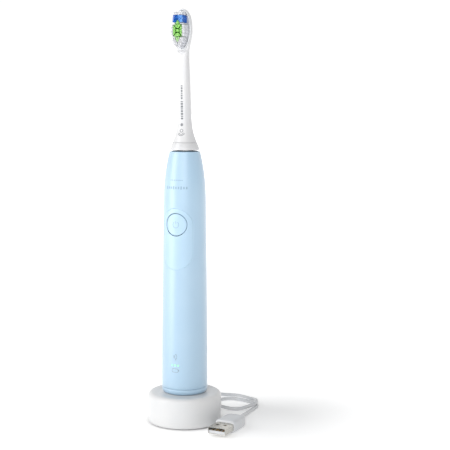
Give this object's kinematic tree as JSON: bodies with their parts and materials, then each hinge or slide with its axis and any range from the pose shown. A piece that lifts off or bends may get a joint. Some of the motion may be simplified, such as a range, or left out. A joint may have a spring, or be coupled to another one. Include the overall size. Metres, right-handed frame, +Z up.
{
  "type": "electric toothbrush on charger",
  "caption": "Rechargeable sonic toothbrush with a removable brush head, standing on a round inductive charger with a USB cord.",
  "frame": {"origin": "centre of the charger's underside, on the surface it stands on", "axes": "+Z up along the handle and the drive shaft, -Y the front with the bristles and the button, +X to the right seen from the front"},
  "size_m": [0.0811, 0.0956, 0.2668],
  "materials": {
    "blue_shell": "satin",
    "blue_soft": "matte",
    "white_shell": "gloss",
    "white_plastic": "matte",
    "white_cord": "satin",
    "grey_rubber": "matte",
    "black_plastic": "matte",
    "clear_plastic": "gloss",
    "copper": "satin",
    "steel": "brushed",
    "dark_iron": "matte",
    "bronze": "satin",
    "circuit": "satin",
    "battery": "satin",
    "white_nylon": "satin",
    "blue_nylon": "satin",
    "green_nylon": "satin",
    "soft_clear": "satin"
  },
  "bodies": {
    "charger": {"charger_shell": "white_shell", "charger_base": "white_plastic", "foot_ring": "grey_rubber", "primary_bobbin": "black_plastic", "primary_coil": "copper", "ferrite_core": "dark_iron", "charger_board": "circuit", "charger_chips": "black_plastic", "strain_relief": "white_cord", "cord_lead": "white_cord", "cord_coil": "white_cord", "cord_tail": "white_cord", "cord_tie": "grey_rubber", "usb_grip": "white_plastic", "usb_shell": "steel", "usb_tongue": "white_plastic", "usb_contacts": "bronze"},
    "handle": {"handle_shell": "blue_shell", "thumb_pad": "blue_soft", "bottom_cap": "blue_shell", "cap_seal": "grey_rubber", "receiver_coil": "copper", "nose_ring": "grey_rubber", "shaft_seal": "grey_rubber", "chassis": "white_plastic", "front_bearing": "bronze", "rear_bearing": "bronze", "stator_core": "dark_iron", "stator_coils": "copper", "battery_cell": "battery", "battery_tabs": "steel", "main_board": "circuit", "board_chips": "black_plastic", "push_switch": "black_plastic", "status_leds": "clear_plastic", "light_guide": "clear_plastic"},
    "button": {"power_button": "blue_soft"},
    "drive": {"drive_shaft": "steel", "rotor_hub": "dark_iron", "rotor_magnets": "steel"},
    "brush_head": {"collar_ring": "white_shell", "head_neck": "white_shell", "soft_rim": "soft_clear", "head_socket": "white_plastic", "socket_clip": "steel", "id_tag": "copper", "white_bristles": "white_nylon", "blue_bristles": "blue_nylon", "green_bristles": "green_nylon"}
  },
  "joints": [
    {"name": "handle_lift", "type": "slide", "parent": "charger", "child": "handle", "axis": [0, 0, 1], "range_m": [0, 0.03]},
    {"name": "button_press", "type": "slide", "parent": "handle", "child": "button", "axis": [0, 1, 0], "range_m": [0, 0.0005], "stiffness_N_per_m": 4000},
    {"name": "drive_sweep", "type": "hinge", "parent": "handle", "child": "drive", "pos_m": [0, 0, 0.15], "axis": [0, 0, 1], "range_deg": [-5, 5], "stiffness_Nm_per_rad": 0.4},
    {"name": "head_pull", "type": "slide", "parent": "drive", "child": "brush_head", "axis": [0, 0, 1], "range_m": [0, 0.022]}
  ]
}
